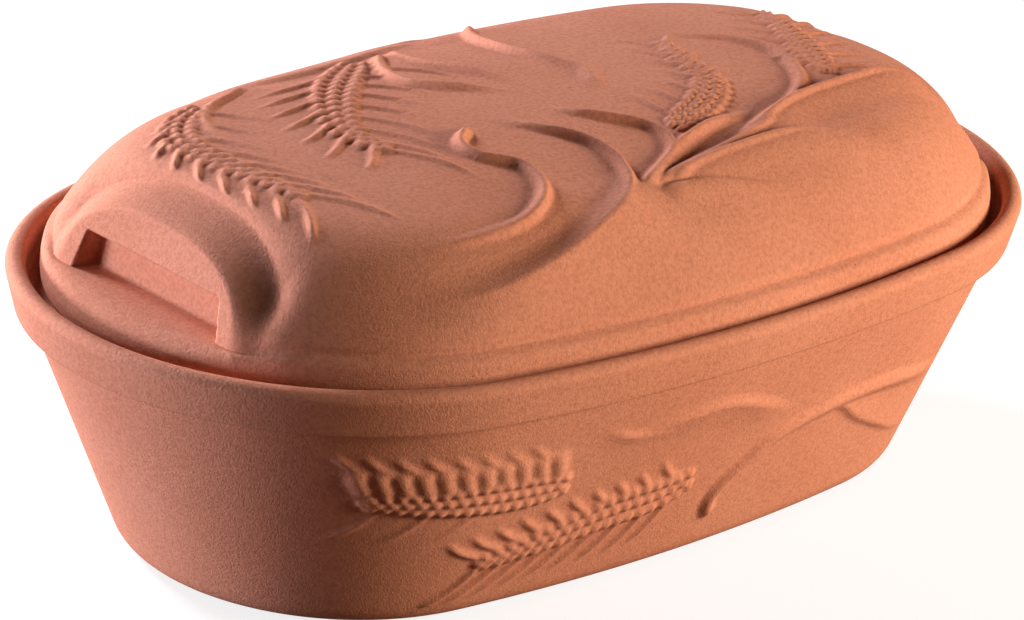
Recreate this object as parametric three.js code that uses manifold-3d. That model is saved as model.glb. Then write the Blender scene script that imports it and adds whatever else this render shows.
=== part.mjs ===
// Clay pot roaster: an oval pot of unglazed terracotta and a domed lid that drops inside its collar.
// Millimetres, +Z up. X runs along the length, Y across the width, the origin is under the foot's middle.

import * as THREE from "three";
import Module from "manifold-3d";
import { mergeVertices } from "three/addons/utils/BufferGeometryUtils.js";

// Overall size with the lid on
const LENGTH = 400;
const WIDTH = 244;
const HEIGHT = 148.6;

// Plan of the pot: four-centre ovals given by half length, half width and the bow of the long side,
// which is how much further the middle of the side stands out than the end arc's radius
const COLLAR = { length: LENGTH / 2, width: WIDTH / 2, bow: 7 };
const FOOT = { length: 149.5, width: 75, bow: 5.5 };

// Heights of the pot
const COLLAR_TOP = 102.6;
const COLLAR_HEIGHT = 16.6;
const LEDGE_DEPTH = 9.6;
const FLOOR_THICKNESS = 10;

// Section of the collar and the ledge that carries the lid
const COLLAR_FLARE = 3;
const COLLAR_STEP = 5;
const COLLAR_EDGE_ROUND = 1;
const COLLAR_THICKNESS = 7;
const LEDGE_WIDTH = 13;
const LEDGE_ROUND = 1.5;
const FOOT_RADIUS = 12;
const INSIDE_RADIUS = 18;
const WALL_THICKNESS = 9.5;

// Section of the lid
const SEAT_GAP = 0.3;
const RIM_GAP_END = 5.5;
const RIM_GAP_SIDE = 2;
const RIM_SEAT_WIDTH = 12;
const RIM_ROUND = 1.6;
const BAND_HEIGHT = 16.3;
const BAND_WIDEST = 0.35;
const BAND_ROLL = 2;
const CREASE_STEP = 3.2;
const SIDE_RUN = 45;
const END_RUN = 43;
const SIDE_CURVE = 2.5;
const SIDE_STRAIGHT = 0.15;
const CROWN_RISE = 6;
const LID_THICKNESS = 8.5;

// Grip at each end of the lid: the dome's end is cut back behind a rolled shelf, and an arched lug with a
// finger recess stands on the shelf. Runs are measured along X, rises and drops along Z.
const SHELF_DROP = 3.6;
const SHELF_ROLL = 8;
const SHELF_DEPTH = 16;
const CUT_SET_BACK = 3.5;
const CUT_KNEE = { run: 11, rise: 14 };
const CUT_HEAD = { run: 23.5, rise: 35 };
const CUT_HALF_WIDTH = 64;
const LUG_HALF_WIDTH = 50;
const LUG_HEIGHT = 29.5;
const LUG_LEAN = 8;
const LUG_SQUARENESS = 2.4;
const LUG_EDGE = 3;
const LUG_RUN = 36;
const LUG_DRAFT = 4;
const RECESS_HEIGHT = 13.5;
const RECESS_HALF_WIDTH_TOP = 36;
const RECESS_HALF_WIDTH_FOOT = 39;
const RECESS_DEPTH = 8.5;
const RECESS_LEAN = 1.4;
const RECESS_DRAFT = 1.5;
const BOSS_WALL = 8;

// Fineness of the facets
const POINTS_PER_ARC = 9;
const ROUND_STEPS = 4;
const SIDE_STEPS = 7;
const ARCH_STEPS = 14;

const wasm = await Module();
wasm.setup();

// Plan ovals

function inset(oval, by) {
  return { ...oval, length: oval.length - by, width: oval.width - by };
}

function insetEndAndSide(oval, byEnd, bySide) {
  return { ...oval, length: oval.length - byEnd, width: oval.width - bySide };
}

function blend(from, to, t) {
  return {
    length: THREE.MathUtils.lerp(from.length, to.length, t),
    width: THREE.MathUtils.lerp(from.width, to.width, t),
    bow: THREE.MathUtils.lerp(from.bow, to.bow, t),
  };
}

function scaled(oval, by) {
  return { length: oval.length * by, width: oval.width * by, bow: oval.bow * by };
}

// The side arc is tangent to both end arcs, which fixes its radius.
function ovalPoints({ length, width, bow }) {
  const end = width - bow;
  const endCentre = length - end;
  const side = endCentre ** 2 / (2 * bow) + width - bow / 2;
  const meeting = Math.atan2(side - width, endCentre);
  const quarter = [];
  for (let i = 0; i < POINTS_PER_ARC; i++) {
    const angle = (meeting * i) / POINTS_PER_ARC;
    quarter.push([endCentre + end * Math.cos(angle), end * Math.sin(angle)]);
  }
  for (let i = 0; i < POINTS_PER_ARC; i++) {
    const angle = meeting + ((Math.PI / 2 - meeting) * i) / POINTS_PER_ARC;
    quarter.push([side * Math.cos(angle), width - side + side * Math.sin(angle)]);
  }
  const top = [0, width];
  const mirrored = quarter.slice(1).map(([x, y]) => [-x, y]).reverse();
  const upper = [...quarter, top, ...mirrored, [-length, 0]];
  const lower = upper.slice(1, -1).map(([x, y]) => [x, -y]).reverse();
  return [...upper, ...lower];
}

// Solids

function solid(geometry) {
  geometry.deleteAttribute("normal");
  geometry.deleteAttribute("uv");
  const merged = mergeVertices(geometry, 1e-4);
  return new wasm.Manifold(
    new wasm.Mesh({
      numProp: 3,
      vertProperties: new Float32Array(merged.attributes.position.array),
      triVerts: new Uint32Array(merged.index.array),
    }),
  );
}

// Skin over a stack of rings, closed by a point at its first and its last height
function stackedRings(rows) {
  const rings = rows.map(({ oval, z }) => ovalPoints(oval).map(([x, y]) => [x, y, z]));
  const count = rings[0].length;
  const points = [[0, 0, rows[0].z], ...rings.flat(), [0, 0, rows.at(-1).z]];
  const last = points.length - 1;
  const faces = [];
  for (let i = 0; i < count; i++) {
    const next = (i + 1) % count;
    faces.push(0, 1 + next, 1 + i);
    for (let r = 0; r + 1 < rings.length; r++) {
      const low = 1 + r * count;
      const high = low + count;
      faces.push(low + i, low + next, high + next, low + i, high + next, high + i);
    }
    const top = 1 + (rings.length - 1) * count;
    faces.push(last, top + i, top + next);
  }
  return solidFromFaces(points, faces);
}

function solidFromFaces(points, faces) {
  const geometry = new THREE.BufferGeometry();
  geometry.setAttribute("position", new THREE.Float32BufferAttribute(points.flat(), 3));
  geometry.setIndex(faces);
  return solid(geometry);
}

// Body through outlines that run clockwise seen from +X, all with the same number of points
function loft(outlines) {
  const count = outlines[0].length;
  const last = count * (outlines.length - 1);
  const faces = [];
  for (let i = 0; i < count; i++) {
    const next = (i + 1) % count;
    for (let r = 0; r < last; r += count) {
      faces.push(r + i, r + count + i, r + count + next, r + i, r + count + next, r + next);
    }
  }
  const flat = outlines[0].map(([, y, z]) => new THREE.Vector2(y, z));
  for (const [a, b, c] of THREE.ShapeUtils.triangulateShape(flat, [])) {
    faces.push(a, c, b);
    faces.push(last + a, last + b, last + c);
  }
  return solidFromFaces(outlines.flat(), faces);
}

// Side view profile of [x, z] points, pushed to both sides of the middle plane
function profile(points, halfWidth) {
  const shape = new THREE.Shape(points.map(([x, z]) => new THREE.Vector2(x, z)));
  const geometry = new THREE.ExtrudeGeometry(shape, { depth: 2 * halfWidth, bevelEnabled: false });
  geometry.rotateX(Math.PI / 2).translate(0, halfWidth, 0);
  return solid(geometry);
}

// Pot: foot, tapered wall, collar, ledge and inside, as one section followed round the oval

const ledgeZ = COLLAR_TOP - LEDGE_DEPTH;
const collarFootZ = COLLAR_TOP - COLLAR_HEIGHT;
const shoulder = inset(COLLAR, COLLAR_FLARE + COLLAR_STEP);
const draft = Math.atan2(shoulder.length - FOOT.length - FOOT_RADIUS, collarFootZ - FOOT_RADIUS / 2);

function potSection() {
  const rows = [];
  for (let i = 0; i <= ROUND_STEPS; i++) {
    const angle = ((Math.PI / 2 - draft) * i) / ROUND_STEPS;
    rows.push({
      oval: inset(FOOT, -FOOT_RADIUS * Math.sin(angle)),
      z: FOOT_RADIUS * (1 - Math.cos(angle)),
    });
  }
  const wallFoot = rows.at(-1);
  const wallTopZ = collarFootZ - COLLAR_EDGE_ROUND;
  for (const t of [0.33, 0.67, 1]) {
    rows.push({
      oval: blend(wallFoot.oval, shoulder, t),
      z: THREE.MathUtils.lerp(wallFoot.z, wallTopZ, t),
    });
  }
  rows.push({ oval: inset(COLLAR, COLLAR_FLARE + COLLAR_EDGE_ROUND), z: collarFootZ });
  rows.push({ oval: inset(COLLAR, COLLAR_FLARE), z: collarFootZ + COLLAR_EDGE_ROUND });
  const lip = COLLAR_THICKNESS / 2;
  for (let i = 0; i <= 2 * ROUND_STEPS; i++) {
    const angle = (Math.PI * i) / (2 * ROUND_STEPS);
    rows.push({
      oval: inset(COLLAR, lip - lip * Math.cos(angle)),
      z: COLLAR_TOP - lip + lip * Math.sin(angle),
    });
  }
  const ledgeInner = COLLAR_THICKNESS + LEDGE_WIDTH;
  rows.push({ oval: inset(COLLAR, COLLAR_THICKNESS), z: ledgeZ + LEDGE_ROUND });
  rows.push({ oval: inset(COLLAR, COLLAR_THICKNESS + LEDGE_ROUND), z: ledgeZ });
  rows.push({ oval: inset(COLLAR, ledgeInner), z: ledgeZ });
  const wallHead = { oval: inset(COLLAR, ledgeInner + LEDGE_ROUND), z: ledgeZ - LEDGE_ROUND };
  rows.push(wallHead);
  const inside = inset(wallFoot.oval, WALL_THICKNESS);
  const insideFootZ = FLOOR_THICKNESS + INSIDE_RADIUS * (1 - Math.sin(draft));
  rows.push({
    oval: blend(wallHead.oval, inside, 0.5),
    z: THREE.MathUtils.lerp(wallHead.z, insideFootZ, 0.5),
  });
  for (let i = 0; i <= ROUND_STEPS; i++) {
    const angle = draft + ((Math.PI / 2 - draft) * i) / ROUND_STEPS;
    rows.push({
      oval: inset(inside, INSIDE_RADIUS * (Math.cos(draft) - Math.cos(angle))),
      z: FLOOR_THICKNESS + INSIDE_RADIUS * (1 - Math.sin(angle)),
    });
  }
  return rows;
}

// Lid: rim and rolled band, a soft crease, the curved side and a low crown

const rimZ = ledgeZ + SEAT_GAP;
const creaseZ = rimZ + BAND_HEIGHT;
const rimOval = insetEndAndSide(COLLAR, COLLAR_THICKNESS + RIM_GAP_END, COLLAR_THICKNESS + RIM_GAP_SIDE);
const creaseOval = inset(rimOval, CREASE_STEP);
const sideRise = HEIGHT - CROWN_RISE - creaseZ;

function domeRows(base, rise, crown, baseZ) {
  const rows = [];
  const top = insetEndAndSide(base, END_RUN, SIDE_RUN);
  for (let i = 1; i <= SIDE_STEPS; i++) {
    const t = i / SIDE_STEPS;
    const curve = THREE.MathUtils.lerp(1 - (1 - t) ** SIDE_CURVE, t, SIDE_STRAIGHT);
    rows.push({ oval: blend(base, top, t), z: baseZ + rise * curve });
  }
  for (const s of [0.75, 0.45, 0.15]) {
    rows.push({ oval: scaled(top, s), z: baseZ + rise + crown * (1 - s ** 2) });
  }
  return rows;
}

// Height share t of the band, which is widest a little below its middle
function bandRow(t) {
  const roll = BAND_ROLL * ((t - BAND_WIDEST) / (1 - BAND_WIDEST)) ** 2;
  return { oval: inset(rimOval, roll), z: rimZ + BAND_HEIGHT * t };
}

function lidOutside() {
  return [
    { oval: inset(rimOval, RIM_ROUND), z: rimZ },
    ...[0.1, 0.35, 0.62, 0.88].map(bandRow),
    { oval: creaseOval, z: creaseZ },
    ...domeRows(creaseOval, sideRise, CROWN_RISE, creaseZ),
  ];
}

function lidInside() {
  const mouth = inset(rimOval, RIM_SEAT_WIDTH);
  const wall = inset(creaseOval, LID_THICKNESS);
  const springZ = creaseZ - LID_THICKNESS / 2;
  return [
    { oval: mouth, z: rimZ - SEAT_GAP },
    { oval: wall, z: springZ },
    ...domeRows(wall, sideRise - LID_THICKNESS / 2, CROWN_RISE, springZ),
  ];
}

// Grips, for the end at -X

const shelfZ = creaseZ - SHELF_DROP;
const lugX = -rimOval.length + SHELF_DEPTH;
const cutX = lugX + CUT_SET_BACK;
const recessX = lugX + RECESS_DEPTH;
const outX = -COLLAR.length - SHELF_DEPTH;
const overZ = HEIGHT + SHELF_ROLL;

function cutXAt(z) {
  const slope = (CUT_HEAD.run - CUT_KNEE.run) / (CUT_HEAD.rise - CUT_KNEE.rise);
  return cutX + CUT_KNEE.run + slope * (z - shelfZ - CUT_KNEE.rise);
}

// All that lies above the shelf and in front of the cut dome
function endCut() {
  const points = [[outX, shelfZ - SHELF_ROLL]];
  const roll = cutX + rimOval.length + RIM_ROUND;
  for (let i = 0; i <= ROUND_STEPS; i++) {
    const angle = ((Math.PI / 2) * i) / ROUND_STEPS;
    points.push([cutX - roll * Math.cos(angle), shelfZ - SHELF_ROLL * (1 - Math.sin(angle))]);
  }
  points.push([cutX + CUT_KNEE.run, shelfZ + CUT_KNEE.rise]);
  points.push([cutXAt(overZ), overZ], [outX, overZ]);
  return profile(points, CUT_HALF_WIDTH);
}

function archOutline(x, grow) {
  const half = LUG_HALF_WIDTH + grow;
  const height = LUG_HEIGHT + grow;
  const points = [
    [x, half, shelfZ - SHELF_ROLL / 2],
    [x, -half, shelfZ - SHELF_ROLL / 2],
  ];
  for (let i = 0; i <= ARCH_STEPS; i++) {
    const angle = (Math.PI * i) / ARCH_STEPS;
    const across = Math.abs(Math.cos(angle)) ** (2 / LUG_SQUARENESS) * Math.sign(Math.cos(angle));
    points.push([x, -half * across, shelfZ + height * Math.sin(angle) ** (2 / LUG_SQUARENESS)]);
  }
  return points;
}

function leaned(points, run, rise) {
  return points.map(([x, y, z]) => [x + (run * (z - shelfZ)) / rise, y, z]);
}

function lug() {
  const face = leaned(archOutline(lugX, -LUG_EDGE), LUG_LEAN, LUG_HEIGHT);
  const edge = leaned(archOutline(lugX + LUG_EDGE, 0), LUG_LEAN, LUG_HEIGHT);
  return loft([face, edge, archOutline(lugX + LUG_RUN, LUG_DRAFT)]);
}

function recessOutline(x, widen) {
  const top = RECESS_HALF_WIDTH_TOP + widen;
  const foot = RECESS_HALF_WIDTH_FOOT + widen;
  return [
    [x, foot, shelfZ],
    [x, -foot, shelfZ],
    [x, -top, shelfZ + RECESS_HEIGHT],
    [x, top, shelfZ + RECESS_HEIGHT],
  ];
}

function recess() {
  return loft([recessOutline(outX, RECESS_DRAFT), leaned(recessOutline(recessX, 0), RECESS_LEAN, RECESS_HEIGHT)]);
}

// All that is kept solid behind the shelf, the recess and the cut dome
function boss() {
  const innerX = recessX + RECESS_LEAN + BOSS_WALL;
  return profile(
    [
      [outX, shelfZ - BOSS_WALL],
      [innerX, shelfZ - BOSS_WALL],
      [innerX, shelfZ + RECESS_HEIGHT / 2],
      [cutX + CUT_KNEE.run + BOSS_WALL, shelfZ + CUT_KNEE.rise],
      [cutXAt(overZ) + BOSS_WALL, overZ],
      [outX, overZ],
    ],
    CUT_HALF_WIDTH,
  );
}

function bothEnds(make) {
  const near = make();
  return near.add(near.rotate([0, 0, 180]));
}

function lidSolid() {
  const outside = stackedRings(lidOutside()).subtract(bothEnds(endCut)).add(bothEnds(lug));
  const inside = stackedRings(lidInside()).subtract(bothEnds(boss));
  return outside.subtract(inside).subtract(bothEnds(recess));
}

// Named pieces

function mesh(name, manifold, colour) {
  const { vertProperties, triVerts } = manifold.getMesh();
  const geometry = new THREE.BufferGeometry();
  geometry.setAttribute("position", new THREE.BufferAttribute(new Float32Array(vertProperties), 3));
  geometry.setIndex(new THREE.BufferAttribute(new Uint32Array(triVerts), 1));
  geometry.computeVertexNormals();
  const made = new THREE.Mesh(geometry, new THREE.MeshStandardMaterial({ color: colour, roughness: 0.9 }));
  made.name = name;
  return made;
}

const group = new THREE.Group();
group.name = "clay_pot_roaster";
group.add(mesh("pot", stackedRings(potSection()), 0xc07a5c));
group.add(mesh("lid", lidSolid(), 0xc98468));

export default group;
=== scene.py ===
import math

import bpy
import numpy as np
from mathutils import Matrix, Vector


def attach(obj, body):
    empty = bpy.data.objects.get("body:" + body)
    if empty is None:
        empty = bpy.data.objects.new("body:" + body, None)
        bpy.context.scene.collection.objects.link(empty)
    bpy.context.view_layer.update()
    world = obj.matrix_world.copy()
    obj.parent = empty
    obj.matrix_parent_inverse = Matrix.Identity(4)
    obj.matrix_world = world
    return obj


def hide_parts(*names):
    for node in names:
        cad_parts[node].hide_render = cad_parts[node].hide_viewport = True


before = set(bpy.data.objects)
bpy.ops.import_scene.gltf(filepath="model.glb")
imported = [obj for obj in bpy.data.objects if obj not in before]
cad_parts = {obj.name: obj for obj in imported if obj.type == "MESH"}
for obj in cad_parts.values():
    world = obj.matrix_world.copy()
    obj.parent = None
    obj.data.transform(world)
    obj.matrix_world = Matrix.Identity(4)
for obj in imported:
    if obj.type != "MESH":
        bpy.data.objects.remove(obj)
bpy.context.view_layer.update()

# Clay pot roaster: an oval pot and its domed lid, both of unglazed terracotta with moulded ears of grain.
# Shapes are worked out in millimetres and turned into metres when a mesh is made.
MM = 0.001

# Plan ovals: half length, half width, and the bow of the long side
COLLAR = np.array([200.0, 122.0, 7.0])
FOOT = np.array([149.5, 75.0, 5.5])

# Section of the pot
COLLAR_TOP = 102.6
COLLAR_HEIGHT = 16.6
COLLAR_FLARE = 3.0
COLLAR_STEP = 5.0
COLLAR_EDGE_ROUND = 1.0
COLLAR_EDGE_BEVEL = 0.3
COLLAR_THICKNESS = 7.0
LEDGE_DEPTH = 9.6
LEDGE_WIDTH = 13.0
LEDGE_ROUND = 1.5
FLOOR_THICKNESS = 10.0
WALL_THICKNESS = 9.5
FOOT_RADIUS = 12.0
INSIDE_RADIUS = 18.0

# Section of the lid; the places on the band are shares of its height
HEIGHT = 148.6
SEAT_GAP = 0.3
RIM_GAP_END = 5.5
RIM_GAP_SIDE = 2.0
RIM_SEAT_WIDTH = 12.0
RIM_SEAT_EDGE = 2.0
RIM_ROUND = 1.6
RIM_TUCK = 0.6
BAND_HEIGHT = 16.3
BAND_FOOT = 0.12
BAND_WIDEST = 0.35
BAND_SHOULDER = 0.8
BAND_ROLL = 2.0
CREASE_STEP = 3.2
CREASE_GROOVE = 1.3
CREASE_GROOVE_WIDTH = 1.6
SIDE_RUN = 45.0
END_RUN = 43.0
SIDE_CURVE = 2.5
SIDE_STRAIGHT = 0.15
CROWN_RISE = 6.0
LID_THICKNESS = 8.5

# Grip at each end of the lid: an arched lug on a shelf that is cut into the end of the dome
SHELF_DROP = 3.6
SHELF_ROLL = 8.0
SHELF_DEPTH = 16.0
CUT_SET_BACK = 3.5
CUT_KNEE = (11.0, 14.0)
CUT_HEAD = (23.5, 35.0)
CUT_HALF_WIDTH = 64.0
LUG_HALF_WIDTH = 50.0
LUG_HEIGHT = 29.5
LUG_LEAN = 8.0
LUG_SQUARENESS = 2.4
RECESS_HEIGHT = 13.5
RECESS_HALF_WIDTH_TOP = 36.0
RECESS_HALF_WIDTH_FOOT = 39.0
RECESS_DEPTH = 8.5
RECESS_LEAN = 1.4
BOSS_WALL = 8.0

# How the surfaces of the grip run into each other
CUT_BLEND = 8.0
CUT_FADE_OUTWARD = 2.0
CUT_FADE_INWARD = 14.0
LUG_EDGE = (1.13, 0.90)
RECESS_SIDE_EDGE = 1.6
RECESS_TOP_EDGE = 0.4
ROLL_HEAD_DROP = 2.4
SHELF_HEAD_DROP = 0.2
SHELF_REJOIN = 4.0
SHELF_CLEAR = 0.8
SHELF_LEAST = 2.0
BOSS_START = 1.0
BOSS_BLEND = 6.0

# Where the ornament fades out: under the collar, over the crease and round the grips
WALL_PLAIN = (2.0, 8.0)
CREASE_PLAIN = (2.0, 9.0)
GRIP_PLAIN = (20.0, 30.0)
GRIP_REACH = 130.0

# Fineness of the meshes: columns round a quarter of the plan, and rows along each stretch of a section
END_ZONE = 62.0
END_COLUMNS = 76
SIDE_COLUMNS = 216
COLUMNS = 4 * (END_COLUMNS + SIDE_COLUMNS)
FOOT_SHARES = (0.3, 0.7, 0.92)
FOOT_ROWS = 12
WALL_ROWS = 100
STEP_ROWS = 5
COLLAR_ROWS = 10
LIP_ROWS = 19
EDGE_ROWS = 4
LEDGE_SHARES = (0.5, 1.0)
INSIDE_WALL_ROWS = 10
INSIDE_ROUND_ROWS = 9
FLOOR_SHARES = (0.7, 0.35)
BAND_ROWS = 34
LID_SIDE_ROWS = 84
CROWN_OUTER_ROWS = 80
CROWN_INNER_ROWS = 24
CROWN_INNER_SHARE = 0.40
CROWN_LAST_SHARE = 0.03
LID_INSIDE_FOOT_SHARES = (0.25, 0.5, 0.75, 1.0)
LID_INSIDE_SIDE_ROWS = 12
LID_INSIDE_CROWN_SHARES = (0.85, 0.65, 0.45, 0.25, 0.08)

LEDGE_Z = COLLAR_TOP - LEDGE_DEPTH
RIM_Z = LEDGE_Z + SEAT_GAP
CREASE_Z = RIM_Z + BAND_HEIGHT
SIDE_RISE = HEIGHT - CROWN_RISE - CREASE_Z
SHELF_Z = CREASE_Z - SHELF_DROP


# Plan ovals and grids of points

def inset(oval, by):
    return oval - np.array([by, by, 0.0])


def inset_end_and_side(oval, by_end, by_side):
    return oval - np.array([by_end, by_side, 0.0])


def mix(a, b, t):
    return a + (b - a) * t


def smooth(low, high, value):
    t = np.clip((value - low) / (high - low), 0.0, 1.0)
    return t * t * (3.0 - 2.0 * t)


def oval_arcs(oval):
    """Radii of the end arc and the side arc, the end arc's centre, and the angle at which the arcs meet."""
    length, width, bow = oval
    end = width - bow
    reach = length - end
    side = reach ** 2 / (2 * bow) + width - bow / 2
    return end, side, reach, math.atan2(side - width, reach)


def column_shares():
    """Shares along the end arc and the side arc of a quarter of the collar, closer together at the end."""
    end, side, _, meeting = oval_arcs(COLLAR)
    end_length = end * meeting
    side_length = side * (math.pi / 2 - meeting)
    at_end = np.linspace(0, END_ZONE, END_COLUMNS + 1)
    at_side = np.linspace(END_ZONE, end_length + side_length, SIDE_COLUMNS + 1)
    along = np.concatenate([at_end, at_side[1:]])
    on_end = np.clip(along / end_length, 0, 1)
    on_side = np.clip((along - end_length) / side_length, 0, 1)
    return on_end, on_side


ON_END, ON_SIDE = column_shares()


def ring(oval):
    """Points of a four-centre oval: the side arc is tangent to both end arcs."""
    end, side, reach, meeting = oval_arcs(oval)
    end_angle = meeting * ON_END
    side_angle = meeting + (math.pi / 2 - meeting) * ON_SIDE
    on_side = ON_SIDE > 0
    x = np.where(on_side, side * np.cos(side_angle), reach + end * np.cos(end_angle))
    y = np.where(on_side, oval[1] - side + side * np.sin(side_angle), end * np.sin(end_angle))
    x[-1] = 0.0
    quarter = np.column_stack([x, y])
    back = quarter[:0:-1]
    return np.concatenate([quarter[:-1], back * [-1, 1], -quarter[:-1], back * [1, -1]])


def grid(rows):
    """Rows of (oval, height) as an array of points, row by column."""
    points = np.empty((len(rows), COLUMNS, 3))
    for i, (oval, z) in enumerate(rows):
        points[i, :, :2] = ring(oval)
        points[i, :, 2] = z
    return points


def grid_normals(points):
    around = np.roll(points, -1, axis=1) - np.roll(points, 1, axis=1)
    up = np.gradient(points, axis=0)
    normals = np.cross(around, up)
    return normals / np.maximum(np.linalg.norm(normals, axis=2, keepdims=True), 1e-9)


# Pot

def pot_rows():
    """Section of the pot from the middle of its foot over the collar to the middle of its floor inside."""
    collar_foot = COLLAR_TOP - COLLAR_HEIGHT
    shoulder = inset(COLLAR, COLLAR_FLARE + COLLAR_STEP)
    draft = math.atan2(shoulder[0] - FOOT[0] - FOOT_RADIUS, collar_foot - FOOT_RADIUS / 2)
    rows = [(FOOT * s, 0.0) for s in FOOT_SHARES]
    for angle in np.linspace(0, math.pi / 2 - draft, FOOT_ROWS):
        rows.append((inset(FOOT, -FOOT_RADIUS * math.sin(angle)), FOOT_RADIUS * (1 - math.cos(angle))))
    wall_foot, wall_foot_z = rows[-1]
    wall_start = len(rows)
    wall_top = collar_foot - COLLAR_EDGE_ROUND
    for t in np.linspace(0, 1, WALL_ROWS)[1:]:
        rows.append((mix(wall_foot, shoulder, t), mix(wall_foot_z, wall_top, t)))
    wall_end = len(rows)
    step = COLLAR_STEP - COLLAR_EDGE_ROUND
    for t in np.linspace(0, 1, STEP_ROWS)[1:]:
        rows.append((inset(shoulder, -step * t), wall_top + COLLAR_EDGE_ROUND * t))
    rows.append((inset(COLLAR, COLLAR_FLARE + COLLAR_EDGE_BEVEL), collar_foot + COLLAR_EDGE_BEVEL))
    lip = COLLAR_THICKNESS / 2
    face_foot = collar_foot + COLLAR_EDGE_ROUND
    for t in np.linspace(0, 1, COLLAR_ROWS):
        rows.append((inset(COLLAR, COLLAR_FLARE * (1 - t)), mix(face_foot, COLLAR_TOP - lip, t)))
    for angle in np.linspace(0, math.pi, LIP_ROWS)[1:]:
        rows.append((inset(COLLAR, lip - lip * math.cos(angle)), COLLAR_TOP - lip + lip * math.sin(angle)))
    for angle in np.linspace(0, math.pi / 2, EDGE_ROWS):
        out = COLLAR_THICKNESS + LEDGE_ROUND * (1 - math.cos(angle))
        rows.append((inset(COLLAR, out), LEDGE_Z + LEDGE_ROUND * (1 - math.sin(angle))))
    ledge_outer = COLLAR_THICKNESS + LEDGE_ROUND
    ledge_inner = COLLAR_THICKNESS + LEDGE_WIDTH
    rows += [(inset(COLLAR, mix(ledge_outer, ledge_inner, t)), LEDGE_Z) for t in LEDGE_SHARES]
    wall_head = inset(COLLAR, ledge_inner + LEDGE_ROUND)
    inside = inset(wall_foot, WALL_THICKNESS)
    inside_foot = FLOOR_THICKNESS + INSIDE_RADIUS * (1 - math.sin(draft))
    for t in np.linspace(0, 1, INSIDE_WALL_ROWS)[:-1]:
        rows.append((mix(wall_head, inside, t), mix(LEDGE_Z - LEDGE_ROUND, inside_foot, t)))
    for angle in np.linspace(draft, math.pi / 2, INSIDE_ROUND_ROWS):
        out = INSIDE_RADIUS * (math.cos(draft) - math.cos(angle))
        rows.append((inset(inside, out), FLOOR_THICKNESS + INSIDE_RADIUS * (1 - math.sin(angle))))
    floor = rows[-1][0]
    rows += [(floor * s, FLOOR_THICKNESS) for s in FLOOR_SHARES]
    return rows, wall_start, wall_end


# Lid

RIM = inset_end_and_side(COLLAR, COLLAR_THICKNESS + RIM_GAP_END, COLLAR_THICKNESS + RIM_GAP_SIDE)
CREASE = inset(RIM, CREASE_STEP)
LUG_X = RIM[0] - SHELF_DEPTH


def dome_rows(base, base_z, rise, crown, side_steps, crown_shares):
    """Rows up the side of a dome from its base and over its crown."""
    top = inset_end_and_side(base, END_RUN, SIDE_RUN)
    rows = []
    for t in np.linspace(0, 1, side_steps + 1)[1:]:
        curve = (1 - SIDE_STRAIGHT) * (1 - (1 - t) ** SIDE_CURVE) + SIDE_STRAIGHT * t
        rows.append((mix(base, top, t), base_z + rise * curve))
    for s in crown_shares:
        rows.append((top * s, base_z + rise + crown * (1 - s ** 2)))
    return rows


def crease_groove(z):
    return CREASE_GROOVE * math.exp(-((z - CREASE_Z) / CREASE_GROOVE_WIDTH) ** 2)


def lid_outside_rows():
    """Section of the lid from its seat over the band and the crease to the middle of the crown."""
    rows = [(inset(RIM, RIM_SEAT_WIDTH), RIM_Z), (inset(RIM, RIM_ROUND + RIM_SEAT_EDGE), RIM_Z)]
    for angle in np.linspace(0, math.pi / 2, EDGE_ROWS):
        out = RIM_ROUND * (1 - math.sin(angle))
        rows.append((inset(RIM, out + RIM_TUCK), RIM_Z + RIM_ROUND * (1 - math.cos(angle))))
    for t in np.linspace(BAND_FOOT, 1, BAND_ROWS):
        roll = BAND_ROLL * ((t - BAND_WIDEST) / (1 - BAND_WIDEST)) ** 2
        roll += (CREASE_STEP - BAND_ROLL) * max(0.0, (t - BAND_SHOULDER) / (1 - BAND_SHOULDER)) ** 2
        rows.append((inset(RIM, roll), RIM_Z + BAND_HEIGHT * t))
    outer = np.linspace(1, CROWN_INNER_SHARE, CROWN_OUTER_ROWS)[1:]
    inner = np.linspace(CROWN_INNER_SHARE, CROWN_LAST_SHARE, CROWN_INNER_ROWS)[1:]
    shares = np.concatenate([outer, inner])
    rows += dome_rows(CREASE, CREASE_Z, SIDE_RISE, CROWN_RISE, LID_SIDE_ROWS, shares)
    return [(inset(oval, crease_groove(z)), z) for oval, z in rows]


def lid_inside_rows():
    """Section of the lid's hollow from its mouth to the middle of the crown."""
    mouth = inset(RIM, RIM_SEAT_WIDTH)
    wall = inset(CREASE, LID_THICKNESS)
    spring = CREASE_Z - LID_THICKNESS / 2
    rise = SIDE_RISE - LID_THICKNESS / 2
    rows = [(mouth, RIM_Z)]
    rows += [(mix(mouth, wall, t), mix(RIM_Z, spring, t)) for t in LID_INSIDE_FOOT_SHARES]
    return rows + dome_rows(wall, spring, rise, CROWN_RISE, LID_INSIDE_SIDE_ROWS, LID_INSIDE_CROWN_SHARES)


def soft_min(a, b, radius):
    h = np.clip(0.5 + 0.5 * (b - a) / radius, 0, 1)
    return mix(b, a, h) - radius * h * (1 - h)


def end_cut(z):
    """How far the cut end of the dome reaches at a height: back to a knee, and flatter above it."""
    runs = np.array([0.0, CUT_SET_BACK + CUT_KNEE[0], CUT_SET_BACK + CUT_HEAD[0]])
    rises = np.array([0.0, CUT_KNEE[1], CUT_HEAD[1]])
    return np.interp(z, SHELF_Z + rises, LUG_X - runs)


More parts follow.
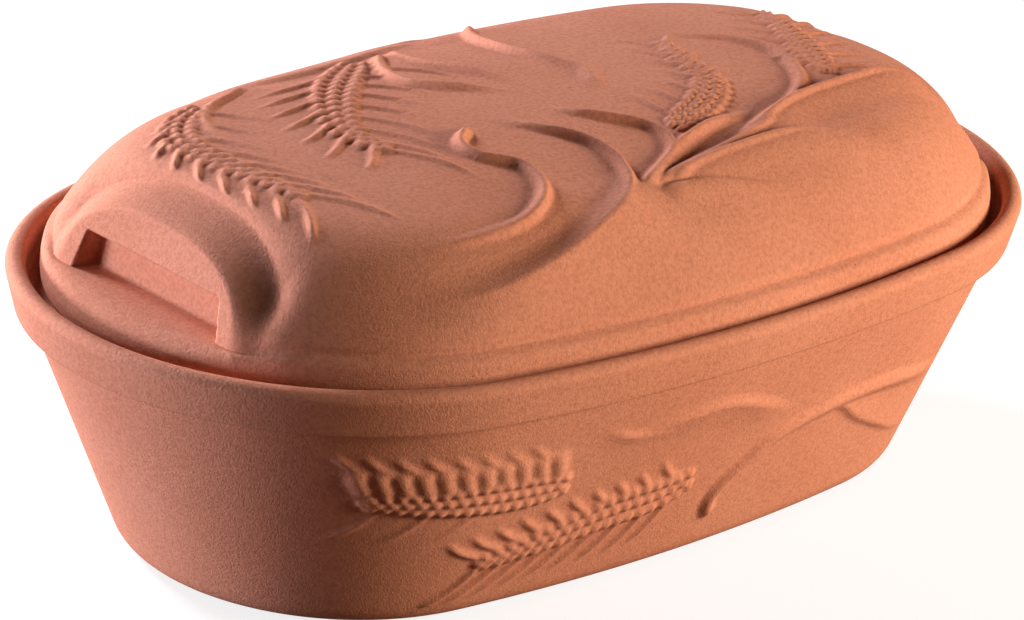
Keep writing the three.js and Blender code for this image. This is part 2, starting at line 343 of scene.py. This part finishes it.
def grip_wall(reach, y, z):
    """How far the end of the lid reaches above the shelf: cut dome, lug on it and recess in the lug."""
    reach = soft_min(reach, end_cut(z), CUT_BLEND)
    rise = z - SHELF_Z
    face = LUG_X - LUG_LEAN * rise / LUG_HEIGHT
    shape = (np.abs(y) / LUG_HALF_WIDTH) ** LUG_SQUARENESS + (rise / LUG_HEIGHT) ** LUG_SQUARENESS
    lug = smooth(*LUG_EDGE, shape ** (1 / LUG_SQUARENESS))
    reach = np.where(face > reach, mix(reach, face, lug), reach)
    half = mix(RECESS_HALF_WIDTH_FOOT, RECESS_HALF_WIDTH_TOP, rise / RECESS_HEIGHT)
    back = LUG_X - RECESS_DEPTH - RECESS_LEAN * rise / RECESS_HEIGHT
    between_sides = smooth(0.0, RECESS_SIDE_EDGE, half - np.abs(y))
    under_top = smooth(RECESS_HEIGHT + RECESS_TOP_EDGE, RECESS_HEIGHT - RECESS_TOP_EDGE, rise)
    return np.where(reach > back, mix(reach, back, between_sides * under_top), reach)


def add_grips(points):
    """Rolls the end of the lid over into a shelf and raises the grip behind it."""
    end = np.sign(points[..., 0])
    reach = np.abs(points[..., 0])
    y = points[..., 1]
    z = points[..., 2]
    near_end = reach > RIM[0] / 3
    fade_start = CUT_HALF_WIDTH + CUT_FADE_OUTWARD
    fade_end = CUT_HALF_WIDTH - CUT_FADE_INWARD
    at_end = smooth(fade_start, fade_end, np.abs(y)) * near_end
    roll_foot = SHELF_Z - SHELF_ROLL
    roll_head = CREASE_Z - ROLL_HEAD_DROP
    shelf_head = CREASE_Z - SHELF_HEAD_DROP
    rejoin = shelf_head + SHELF_REJOIN
    turn = np.clip((z - roll_foot) / (roll_head - roll_foot), 0, 1) * math.pi / 2
    rolled = np.where(z < roll_foot, z, roll_foot + SHELF_ROLL * np.sin(turn))
    raised = np.interp(z, (shelf_head, rejoin), (SHELF_Z, rejoin))
    new_z = np.where(z < shelf_head, rolled, np.where(z < rejoin, raised, z))
    shelf_end = np.minimum(LUG_X + SHELF_CLEAR, reach - SHELF_LEAST)
    on_shelf = shelf_end + (reach - shelf_end) * np.cos(turn)
    wall = grip_wall(reach, y, np.maximum(new_z, SHELF_Z))
    to_wall = np.clip((z - roll_head) / (shelf_head - roll_head), 0, 1)
    new_reach = mix(on_shelf, wall, to_wall)
    return np.stack([end * mix(reach, new_reach, at_end), y, mix(z, new_z, at_end)], axis=-1)


def add_bosses(points):
    """Keeps the inside of the lid a wall's thickness behind the shelf and the finger recess."""
    end = np.sign(points[..., 0])
    reach = np.abs(points[..., 0])
    z = points[..., 2]
    recess_back = LUG_X - RECESS_DEPTH - RECESS_LEAN
    inner = np.minimum(end_cut(z), recess_back) - BOSS_WALL
    reach = np.where(z > RIM_Z + BOSS_START, soft_min(reach, inner, BOSS_BLEND), reach)
    return np.concatenate([(end * reach)[..., None], points[..., 1:]], axis=-1)


# Paths of the ornament

CURVE_STEPS = 12
DIRECTION_SPAN = 0.02


def curve(points):
    """Smooth path through a few points."""
    p = np.array(points, dtype=float)
    p = np.concatenate([[2 * p[0] - p[1]], p, [2 * p[-1] - p[-2]]])
    t = np.linspace(0, 1, CURVE_STEPS, endpoint=False)[:, None]
    parts = []
    for a, b, c, d in zip(p, p[1:], p[2:], p[3:]):
        bend = (2 * a - 5 * b + 4 * c - d) * t ** 2 + (3 * b - a - 3 * c + d) * t ** 3
        parts.append(b + 0.5 * ((c - a) * t + bend))
    parts.append(p[-2:-1])
    return np.concatenate(parts)


def shares_along(path):
    steps = np.linalg.norm(np.diff(path, axis=0), axis=1)
    return np.concatenate([[0.0], np.cumsum(steps)]) / steps.sum()


def place_on(path, share):
    """Point on a path and the direction there."""
    shares = shares_along(path)
    ahead = np.array([np.interp(min(share + DIRECTION_SPAN, 1), shares, path[:, i]) for i in (0, 1)])
    behind = np.array([np.interp(max(share - DIRECTION_SPAN, 0), shares, path[:, i]) for i in (0, 1)])
    point = np.array([np.interp(share, shares, path[:, i]) for i in (0, 1)])
    return point, (ahead - behind) / np.linalg.norm(ahead - behind)


def offsets_from(path, at):
    """Distance of each point to the left of a path, minus to its right, and the share along the path."""
    shares = shares_along(path)
    best = np.full(len(at), np.inf)
    side = np.zeros(len(at))
    share = np.zeros(len(at))
    for i in range(len(path) - 1):
        along = path[i + 1] - path[i]
        to = at - path[i]
        t = np.clip(to @ along / (along @ along), 0, 1)
        away = to - t[:, None] * along
        distance = np.hypot(away[:, 0], away[:, 1])
        closer = distance < best
        best = np.where(closer, distance, best)
        side = np.where(closer, np.sign(along[0] * to[:, 1] - along[1] * to[:, 0]), side)
        share = np.where(closer, mix(shares[i], shares[i + 1], t), share)
    return best * side, share


# Moulded ornament: ridges, grains and bristles as heights over flat coordinates in millimetres

# Shares that shape an ear: fullness at its ends, how early it swells, and each grain's own proportions
EAR_ENDS = 0.35
EAR_SWELL = 0.6
GRAIN_START = 0.3
GRAIN_STAGGER = 0.5
GRAIN_LENGTH = 0.68
GRAIN_WIDTH = 1.15
GRAIN_LEAST = 0.4
GRAIN_LEAN = 0.45

# Shares of a bristle's reach at which it starts and bends, and how far it bends
BRISTLE_START = 0.1
BRISTLE_MIDDLE = 0.55
BRISTLE_BOW = 0.05


class Relief:
    """Heights of ornament over the points of a surface that is laid flat."""

    def __init__(self, at):
        self.at = at
        self.heights = np.zeros(at.shape[:-1])

    def rise_to(self, inside, heights):
        self.heights[inside] = np.maximum(self.heights[inside], heights)

    def ridge(self, points, height, left, right, start, end, sharp=False):
        """Raised line, round or sharp on top, that fades at both ends; each flank has its own width."""
        path = curve(points)
        margin = max(left, right)
        low = path.min(axis=0) - margin
        high = path.max(axis=0) + margin
        inside = np.all((self.at > low) & (self.at < high), axis=-1)
        offset, share = offsets_from(path, self.at[inside])
        flank = np.minimum(np.abs(offset) / np.where(offset > 0, left, right), 1)
        fade = smooth(0, start, share) * smooth(1, 1 - end, share)
        section = (1 - flank) ** 2 if sharp else 0.5 + 0.5 * np.cos(math.pi * flank)
        self.rise_to(inside, height * fade * section)

    def grain(self, centre, forward, half_length, half_width, height):
        inside = np.all(np.abs(self.at - centre) < half_length, axis=-1)
        to = self.at[inside] - centre
        along = to @ forward / half_length
        across = (to[:, 1] * forward[0] - to[:, 0] * forward[1]) / half_width
        self.rise_to(inside, height * np.maximum(1 - along ** 2 - across ** 2, 0))

    def ear(self, points, rows, lanes, half_width, height):
        """Lanes of leaning grains along a path, every other lane half a grain ahead, thin at the tip."""
        path = curve(points)
        spacing = np.linalg.norm(np.diff(path, axis=0), axis=1).sum() / rows
        widest = GRAIN_WIDTH * half_width / (lanes - 1)
        for i in range(rows):
            full = mix(EAR_ENDS, 1.0, math.sin(math.pi * ((i + 0.5) / rows) ** EAR_SWELL))
            for lane, side in enumerate(np.linspace(-1, 1, lanes)):
                share = (i + GRAIN_START + GRAIN_STAGGER * (lane % 2)) / rows
                point, forward = place_on(path, min(share, 1))
                left = np.array([-forward[1], forward[0]])
                lean = GRAIN_LEAN * side
                pointing = forward * math.cos(lean) + left * math.sin(lean)
                centre = point + left * side * half_width * full
                width = widest * mix(GRAIN_LEAST, 1.0, full)
                self.grain(centre, pointing, GRAIN_LENGTH * spacing, width, height)

    def bristles(self, points, count, first, last, height, half_width, start=0.1, end=0.5):
        """Fine ridges that leave a path one after another, from the first reach to the last."""
        path = curve(points)
        first_reach = np.array(first, dtype=float)
        last_reach = np.array(last, dtype=float)
        for i in range(count):
            share = (i + 0.5) / count
            foot, _ = place_on(path, share)
            reach = mix(first_reach, last_reach, share)
            bow = np.array([-reach[1], reach[0]]) * BRISTLE_BOW
            line = (foot + BRISTLE_START * reach, foot + BRISTLE_MIDDLE * reach + bow, foot + reach)
            self.ridge(line, height, half_width, half_width, start, end)


def soften(heights):
    """Rounds off edges as a worn mould does, by mixing each point with its neighbours."""
    mixed = 0.5 * heights + 0.25 * (np.roll(heights, 1, axis=1) + np.roll(heights, -1, axis=1))
    rows = np.pad(mixed, ((1, 1), (0, 0)), mode="edge")
    return 0.5 * mixed + 0.25 * (rows[:-2] + rows[2:])


# Ears on the lid, in plan
EAR_LEFT = ((-102, 60), (-117, 52), (-128, 38), (-131, 18), (-130, -2), (-127, -27))
EAR_BACK = ((-30, 64), (-51, 47), (-67, 30), (-79, 12), (-83, -1), (-81, -16))
EAR_RIGHT = ((20, -48), (44, -38), (60, -24), (65, -6), (73, 15))
EAR_END = ((107, -34), (119, -12), (130, 10), (135, 28))

# Stalks and leaves on the lid, in plan
STALK_HOOK = ((-45, -16), (-57, -25), (-58, -36), (-49, -48),
              (-53, -64), (-70, -75), (-96, -75), (-120, -70))
STALK_LONG = ((-36, -6), (-26, -27), (-16, -45), (-17, -63),
              (-30, -79), (-64, -89), (-102, -90), (-130, -80))
STALK_SHORT = ((-13, -13), (0, -30), (12, -45), (10, -59), (-3, -68), (-22, -77))
LEAF_SMALL = ((-21, -77), (-5, -69), (15, -58), (37, -51), (60, -50))
LEAF_LOOP = ((-20, -77), (40, -64), (72, -51), (93, -36), (104, -12),
             (99, 6), (88, 17), (82, 27), (74, 37))
LEAF_BROAD = ((30, -67), (70, -52), (99, -47), (128, -44), (158, -48))
LEAF_LOW = ((-12, -76), (29, -70), (60, -69), (82, -77), (100, -87))
LEAF_FAINT = ((-18, -79), (3, -80), (19, -84), (38, -92))
LEAF_TOP = ((36, 78), (24, 62), (20, 40), (23, 20), (27, 6), (18, -12))
LEAF_SWEEP = ((-15, 68), (-28, 51), (-34, 34), (-28, 20), (-8, 1))
LEAF_CREST = ((-11, 69), (-14, 47), (-7, 25), (0, 7))
LEAF_CURL = ((-73, 71), (-85, 64), (-98, 58), (-109, 48), (-115, 35), (-115, 22), (-113, 8))


def lid_ornament(at):
    """Ears, stalks and leaves of the lid, with two faint leaves on the far flank too."""
    relief = Relief(at)
    relief.ear(EAR_LEFT, rows=18, lanes=3, half_width=5.0, height=1.9)
    relief.bristles(EAR_LEFT, 8, first=(13, -30), last=(19, -38), height=1.4, half_width=1.7, end=0.4)
    relief.bristles(EAR_LEFT, 9, first=(-25, -5), last=(-13, -31), height=1.6, half_width=2.4,
                    start=0.2, end=0.35)
    relief.ear(EAR_BACK, rows=17, lanes=3, half_width=6.2, height=2.0)
    relief.bristles(EAR_BACK, 9, first=(20, -36), last=(15, -40), height=1.4, half_width=1.7, end=0.4)
    relief.bristles(EAR_BACK, 7, first=(-54, -3), last=(-12, -17), height=1.3, half_width=2.4,
                    start=0.2, end=0.4)
    relief.ear(EAR_RIGHT, rows=19, lanes=4, half_width=5.4, height=1.9)
    relief.bristles(EAR_RIGHT, 7, first=(2, 26), last=(-13, 22), height=1.2, half_width=2.0)
    relief.bristles(EAR_RIGHT, 5, first=(20, 2), last=(14, 18), height=1.2, half_width=2.0)
    relief.ear(EAR_END, rows=15, lanes=4, half_width=5.6, height=1.9)
    relief.bristles(EAR_END, 6, first=(-14, 20), last=(-18, 24), height=1.2, half_width=2.0)
    relief.bristles(EAR_END, 6, first=(24, -8), last=(20, -2), height=1.2, half_width=2.0)
    relief.ridge(STALK_HOOK, height=3.2, left=3.0, right=4.0, start=0.06, end=0.5)
    relief.ridge(STALK_LONG, height=3.4, left=3.4, right=3.0, start=0.2, end=0.3)
    relief.ridge(STALK_LONG[3:], height=4.6, left=24.0, right=8.0, start=0.2, end=0.4, sharp=True)
    relief.ridge(STALK_SHORT, height=3.0, left=3.2, right=3.2, start=0.25, end=0.1)
    relief.ridge(LEAF_SMALL, height=2.8, left=2.8, right=5.0, start=0.1, end=0.35)
    relief.ridge(LEAF_LOOP, height=3.0, left=3.0, right=4.2, start=0.1, end=0.3)
    relief.ridge(LEAF_TOP, height=2.8, left=3.2, right=3.6, start=0.1, end=0.12)
    relief.ridge(LEAF_SWEEP, height=2.6, left=3.5, right=5.0, start=0.1, end=0.3)
    relief.ridge(LEAF_CREST, height=2.4, left=3.5, right=5.0, start=0.1, end=0.4)
    relief.ridge(LEAF_CURL, height=1.8, left=2.6, right=4.5, start=0.1, end=0.45)
    relief.ridge(LEAF_BROAD, height=3.0, left=4.0, right=16.0, start=0.3, end=0.25)
    relief.ridge(LEAF_BROAD, height=4.4, left=4.0, right=5.5, start=0.3, end=0.3)
    relief.ridge(LEAF_LOW, height=3.8, left=3.6, right=5.5, start=0.12, end=0.5)
    relief.ridge(LEAF_LOW, height=2.6, left=4.0, right=16.0, start=0.2, end=0.4)
    relief.ridge(LEAF_FAINT, height=1.8, left=3.0, right=10.0, start=0.2, end=0.6)
    far_flank = Relief(-at)
    far_flank.ridge(LEAF_LOW, height=1.3, left=4.0, right=16.0, start=0.2, end=0.4)
    far_flank.ridge(LEAF_FAINT, height=0.9, left=3.0, right=10.0, start=0.2, end=0.6)
    return np.maximum(relief.heights, far_flank.heights)


# Ornament on the pot's wall: length along the wall from the middle of the front, and height
EAR_UPPER = ((-66, 52), (-85, 52), (-100, 53), (-118, 54), (-141, 56))
EAR_UPPER_HEADS = np.array(EAR_UPPER) + (-2, 11)
EAR_LOWER = ((-7, 38), (-20, 35), (-45, 33), (-72, 28), (-97, 24))
LEAF_TALL = ((10, 15), (7, 23), (10, 30), (20, 39), (33, 47), (60, 52), (95, 51), (140, 42))
LEAF_UPPER = ((-53, 57), (-34, 66), (-14, 69), (4, 68), (39, 54))
LEAF_TRAIL = ((-57, 73), (-45, 67), (-30, 65), (-8, 67))
LEAF_WEDGE = ((26, 45), (58, 50), (80, 38), (112, 24), (137, 18))


def pot_ornament(at):
    """Two ears and the leaves of the pot's wall."""
    relief = Relief(at)
    relief.ear(EAR_UPPER, rows=16, lanes=3, half_width=4.8, height=2.3)
    relief.bristles(EAR_UPPER, 11, first=(-3, 17), last=(-6, 16), height=1.9, half_width=5.6,
                    start=0.3, end=0.35)
    relief.bristles(EAR_UPPER_HEADS, 8, first=(-12, 10), last=(-13, 12), height=1.0, half_width=2.3)
    relief.bristles(EAR_UPPER[1:], 3, first=(-24, -16), last=(-26, -18), height=0.9, half_width=1.7)
    relief.ear(EAR_LOWER, rows=18, lanes=3, half_width=5.2, height=2.3)
    relief.bristles(EAR_LOWER, 9, first=(-17, -23), last=(-30, -18), height=2.0, half_width=1.5, end=0.35)
    relief.bristles(EAR_LOWER, 10, first=(-13, 14), last=(-20, 11), height=1.6, half_width=2.0,
                    start=0.2, end=0.4)
    relief.ridge(LEAF_TALL, height=2.4, left=3.0, right=6.5, start=0.03, end=0.35)
    relief.ridge(LEAF_UPPER, height=1.9, left=4.0, right=16.0, start=0.45, end=0.3, sharp=True)
    relief.ridge(LEAF_TRAIL, height=1.3, left=3.0, right=9.0, start=0.3, end=0.4, sharp=True)
    relief.ridge(LEAF_WEDGE, height=1.6, left=14.0, right=3.0, start=0.35, end=0.4, sharp=True)
    return relief.heights


# Meshes

def closed_mesh(name, points):
    """Mesh over a grid of points that is closed by a point in its first and its last row."""
    rows, columns = points.shape[:2]
    first = points[0].mean(axis=0)
    last = points[-1].mean(axis=0)
    verts = np.concatenate([points.reshape(-1, 3), [first, last]]) * MM
    i = np.arange(rows - 1)[:, None] * columns
    j = np.arange(columns)[None, :]
    k = (j + 1) % columns
    quads = np.stack([i + j, i + k, i + columns + k, i + columns + j], axis=-1).reshape(-1, 4)
    tip = rows * columns
    top = (rows - 1) * columns
    faces = quads.tolist()
    faces += [(tip, (c + 1) % columns, c) for c in range(columns)]
    faces += [(tip + 1, top + c, top + (c + 1) % columns) for c in range(columns)]
    mesh = bpy.data.meshes.new(name)
    mesh.from_pydata(verts.tolist(), [], faces)
    mesh.shade_smooth()
    piece = bpy.data.objects.new(name, mesh)
    bpy.context.scene.collection.objects.link(piece)
    return piece


def raise_ornament(points, heights):
    return points + grid_normals(points) * heights[..., None]


def wall_coordinates(wall):
    """Length along the wall from the middle of its front, repeated on the back, and height."""
    middle = wall[len(wall) // 2]
    steps = np.linalg.norm(np.roll(middle, -1, axis=0) - middle, axis=1)
    along = np.concatenate([[0.0], np.cumsum(steps)[:-1]])
    half = steps.sum() / 2
    from_front = along % half - 0.5 * half
    return np.stack([np.broadcast_to(from_front, wall.shape[:2]), wall[..., 2]], axis=-1)


def make_pot():
    rows, wall_start, wall_end = pot_rows()
    points = grid(rows)
    wall = points[wall_start:wall_end]
    collar_foot = COLLAR_TOP - COLLAR_HEIGHT
    under_collar = smooth(collar_foot - WALL_PLAIN[0], collar_foot - WALL_PLAIN[1], wall[..., 2])
    heights = soften(pot_ornament(wall_coordinates(wall)))
    points[wall_start:wall_end] = raise_ornament(wall, heights * under_collar)
    return closed_mesh("pot_clay", points)


def make_lid():
    outside = grid(lid_outside_rows())
    above_crease = smooth(CREASE_Z + CREASE_PLAIN[0], CREASE_Z + CREASE_PLAIN[1], outside[..., 2])
    heights = soften(lid_ornament(outside[..., :2])) * above_crease
    outside = add_grips(outside)
    above_grip = smooth(SHELF_Z + GRIP_PLAIN[0], SHELF_Z + GRIP_PLAIN[1], outside[..., 2])
    before_grip = np.abs(outside[..., 0]) < GRIP_REACH
    outside = raise_ornament(outside, heights * np.maximum(above_grip, before_grip))
    inside = add_bosses(grid(lid_inside_rows()))
    return closed_mesh("lid_clay", np.concatenate([inside[::-1], outside[1:]]))


pot = make_pot()
lid = make_lid()


# Terracotta

CLAY = (0.66, 0.27, 0.168, 1)
CLAY_SHADE = (0.60, 0.23, 0.138, 1)
CLAY_ROUGHNESS = 0.88
CLAY_GLOSS = 0.06
CLOUDS = {"scale": 16, "detail": 5, "roughness": 0.55}
CLOUD_RANGE = (0.3, 0.7)
SPECKLE = {"scale": 620, "detail": 2, "roughness": 0.6}
SPECKLE_RANGE = (0.3, 0.62)
SPECKLE_DARK = (0.86, 0.82, 0.8, 1)
SPECKLE_LIGHT = (1.05, 1.05, 1.05, 1)
PINHOLE_SCALE = 150
PINHOLE_RANGE = (0.02, 0.06)
PINHOLE_DARK = (0.55, 0.48, 0.46, 1)
UNCHANGED = (1, 1, 1, 1)
COARSE_GRAIN = {"scale": 420, "detail": 2, "roughness": 0.5}
COARSE_STRENGTH = 0.12
COARSE_DEPTH = 0.0006
FINE_GRAIN = {"scale": 1150, "detail": 3, "roughness": 0.75}
FINE_STRENGTH = 0.5
FINE_DEPTH = 0.0008


def terracotta(name):
    """Unglazed clay: soft clouds of tone, fine speckle, pinholes and a sandy grain."""
    material = bpy.data.materials.new(name)
    material.use_nodes = True
    nodes = material.node_tree.nodes
    links = material.node_tree.links
    shader = nodes["Principled BSDF"]
    shader.inputs["Roughness"].default_value = CLAY_ROUGHNESS
    shader.inputs["Specular IOR Level"].default_value = CLAY_GLOSS
    place = nodes.new("ShaderNodeTexCoord")

    def noise(scale, detail, roughness):
        node = nodes.new("ShaderNodeTexNoise")
        node.inputs["Scale"].default_value = scale
        node.inputs["Detail"].default_value = detail
        node.inputs["Roughness"].default_value = roughness
        links.new(place.outputs["Object"], node.inputs["Vector"])
        return node.outputs["Fac"]

    def ramp(value, span, dark, light):
        node = nodes.new("ShaderNodeValToRGB")
        for element, position, colour in zip(node.color_ramp.elements, span, (dark, light)):
            element.position = position
            element.color = colour
        links.new(value, node.inputs["Fac"])
        return node.outputs["Color"]

    def multiply(a, b):
        node = nodes.new("ShaderNodeMix")
        node.data_type = "RGBA"
        node.blend_type = "MULTIPLY"
        node.inputs["Factor"].default_value = 1
        links.new(a, node.inputs["A"])
        links.new(b, node.inputs["B"])
        return node.outputs["Result"]

    def bump(value, strength, depth):
        node = nodes.new("ShaderNodeBump")
        node.inputs["Strength"].default_value = strength
        node.inputs["Distance"].default_value = depth
        links.new(value, node.inputs["Height"])
        return node

    clouds = ramp(noise(**CLOUDS), CLOUD_RANGE, CLAY_SHADE, CLAY)
    speckle = ramp(noise(**SPECKLE), SPECKLE_RANGE, SPECKLE_DARK, SPECKLE_LIGHT)
    holes = nodes.new("ShaderNodeTexVoronoi")
    holes.inputs["Scale"].default_value = PINHOLE_SCALE
    links.new(place.outputs["Object"], holes.inputs["Vector"])
    pinholes = ramp(holes.outputs["Distance"], PINHOLE_RANGE, PINHOLE_DARK, UNCHANGED)
    links.new(multiply(multiply(clouds, speckle), pinholes), shader.inputs["Base Color"])
    coarse = bump(noise(**COARSE_GRAIN), COARSE_STRENGTH, COARSE_DEPTH)
    fine = bump(noise(**FINE_GRAIN), FINE_STRENGTH, FINE_DEPTH)
    links.new(coarse.outputs["Normal"], fine.inputs["Normal"])
    links.new(fine.outputs["Normal"], shader.inputs["Normal"])
    return material


pot.data.materials.append(terracotta("terracotta_pot"))
lid.data.materials.append(terracotta("terracotta_lid"))

for piece, node, slot in ((pot, "pot", "terracotta_pot"), (lid, "lid", "terracotta_lid")):
    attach(piece, node)
    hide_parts(node)


# Floor and background: white to the camera, dark and a little warm in the light that they give back

FLOOR_HALF = 6.0
FLOOR_GLOW = 0.8
FLOOR_SEEN = (0.28, 0.28, 0.28, 1)
FLOOR_BOUNCE = (0.17, 0.10, 0.065, 1)
WORLD_FILL = 0.015
WORLD_WHITE = 1.0
WHITE = (1, 1, 1, 1)


def seen_rays(nodes, links):
    """1 for rays from the camera, straight, mirrored or through glass, and 0 for light on the object."""
    path = nodes.new("ShaderNodeLightPath")
    value = path.outputs["Is Camera Ray"]
    for kind in ("Is Glossy Ray", "Is Transmission Ray"):
        either = nodes.new("ShaderNodeMath")
        either.operation = "MAXIMUM"
        links.new(value, either.inputs[0])
        links.new(path.outputs[kind], either.inputs[1])
        value = either.outputs["Value"]
    return value


def between(nodes, links, share, low, high):
    node = nodes.new("ShaderNodeMapRange")
    node.inputs["To Min"].default_value = low
    node.inputs["To Max"].default_value = high
    links.new(share, node.inputs["Value"])
    return node.outputs["Result"]


def floor_plane():
    mesh = bpy.data.meshes.new("floor")
    corners = [(x * FLOOR_HALF, y * FLOOR_HALF, 0) for x, y in ((-1, -1), (1, -1), (1, 1), (-1, 1))]
    mesh.from_pydata(corners, [], [(0, 1, 2, 3)])
    floor = bpy.data.objects.new("floor", mesh)
    bpy.context.scene.collection.objects.link(floor)
    material = bpy.data.materials.new("floor")
    material.use_nodes = True
    nodes = material.node_tree.nodes
    links = material.node_tree.links
    lit = nodes["Principled BSDF"]
    lit.inputs["Roughness"].default_value = 1
    lit.inputs["Specular IOR Level"].default_value = 0
    lit.inputs["Emission Color"].default_value = WHITE
    seen = seen_rays(nodes, links)
    colour = nodes.new("ShaderNodeMix")
    colour.data_type = "RGBA"
    colour.inputs["A"].default_value = FLOOR_BOUNCE
    colour.inputs["B"].default_value = FLOOR_SEEN
    links.new(seen, colour.inputs["Factor"])
    links.new(colour.outputs["Result"], lit.inputs["Base Color"])
    links.new(between(nodes, links, seen, 0.0, FLOOR_GLOW), lit.inputs["Emission Strength"])
    mesh.materials.append(material)


def background():
    world = bpy.data.worlds.new("studio")
    bpy.context.scene.world = world
    world.use_nodes = True
    nodes = world.node_tree.nodes
    links = world.node_tree.links
    nodes["Background"].inputs["Color"].default_value = WHITE
    level = between(nodes, links, seen_rays(nodes, links), WORLD_FILL, WORLD_WHITE)
    links.new(level, nodes["Background"].inputs["Strength"])


# Lamps: a cool one low at the left, a warm one at the right and a cool one behind

LAMP_TARGET = (0, 0, 0.07)
LEFT_LAMP = {"place": (-1.03, 0.79, 0.12), "size": (0.5, 0.2), "power": 25, "colour": (0.78, 0.83, 1.0)}
RIGHT_LAMP = {"place": (0.68, -0.92, 0.34), "size": (0.45, 0.45), "power": 20, "colour": (1.0, 0.88, 0.72)}
BACK_LAMP = {"place": (-0.25, 1.25, 0.78), "size": (0.4, 0.4), "power": 32, "colour": (0.84, 0.86, 1.0)}


def area_light(name, place, size, power, colour):
    light = bpy.data.lights.new(name, "AREA")
    light.shape = "RECTANGLE"
    light.size, light.size_y = size
    light.energy = power
    light.color = colour
    lamp = bpy.data.objects.new(name, light)
    lamp.location = place
    lamp.rotation_euler = (Vector(LAMP_TARGET) - Vector(place)).to_track_quat("-Z", "Y").to_euler()
    bpy.context.scene.collection.objects.link(lamp)


# Camera as fitted to the photograph: angles in degrees, lengths in metres, places in pixels of the picture

CAMERA_AZIMUTH = -43.175
CAMERA_ELEVATION = 22.408
CAMERA_ROLL = 3.903
CAMERA_DISTANCE = 1.808156
CAMERA_TARGET = (0.018158, 0.0, 0.062883)
CAMERA_REACH = 50
SENSOR_WIDTH = 36
PICTURE_WIDTH = 1024
PICTURE_HEIGHT = 620
FOCAL_PIXELS = 5059.448
AXIS_PIXEL = (561.437, 303.619)


def camera():
    azimuth = math.radians(CAMERA_AZIMUTH)
    elevation = math.radians(CAMERA_ELEVATION)
    roll = math.radians(CAMERA_ROLL)
    level = math.cos(elevation)
    back = Vector((math.sin(azimuth) * level, -math.cos(azimuth) * level, math.sin(elevation)))
    flat_right = (-back).cross(Vector((0, 0, 1))).normalized()
    flat_up = flat_right.cross(-back)
    right = math.cos(roll) * flat_right + math.sin(roll) * flat_up
    up = -math.sin(roll) * flat_right + math.cos(roll) * flat_up
    data = bpy.data.cameras.new("camera")
    data.sensor_width = SENSOR_WIDTH
    data.lens = FOCAL_PIXELS * SENSOR_WIDTH / PICTURE_WIDTH
    data.shift_x = (PICTURE_WIDTH / 2 - AXIS_PIXEL[0]) / PICTURE_WIDTH
    data.shift_y = (AXIS_PIXEL[1] - PICTURE_HEIGHT / 2) / PICTURE_WIDTH
    data.clip_end = CAMERA_REACH
    place = Matrix.Translation(Vector(CAMERA_TARGET) + back * CAMERA_DISTANCE)
    seen = bpy.data.objects.new("camera", data)
    seen.matrix_world = place @ Matrix((right, up, back)).transposed().to_4x4()
    bpy.context.scene.collection.objects.link(seen)
    bpy.context.scene.camera = seen


floor_plane()
camera()
area_light("left", **LEFT_LAMP)
area_light("right", **RIGHT_LAMP)
area_light("back", **BACK_LAMP)
background()
bpy.context.scene.view_settings.view_transform = "Standard"
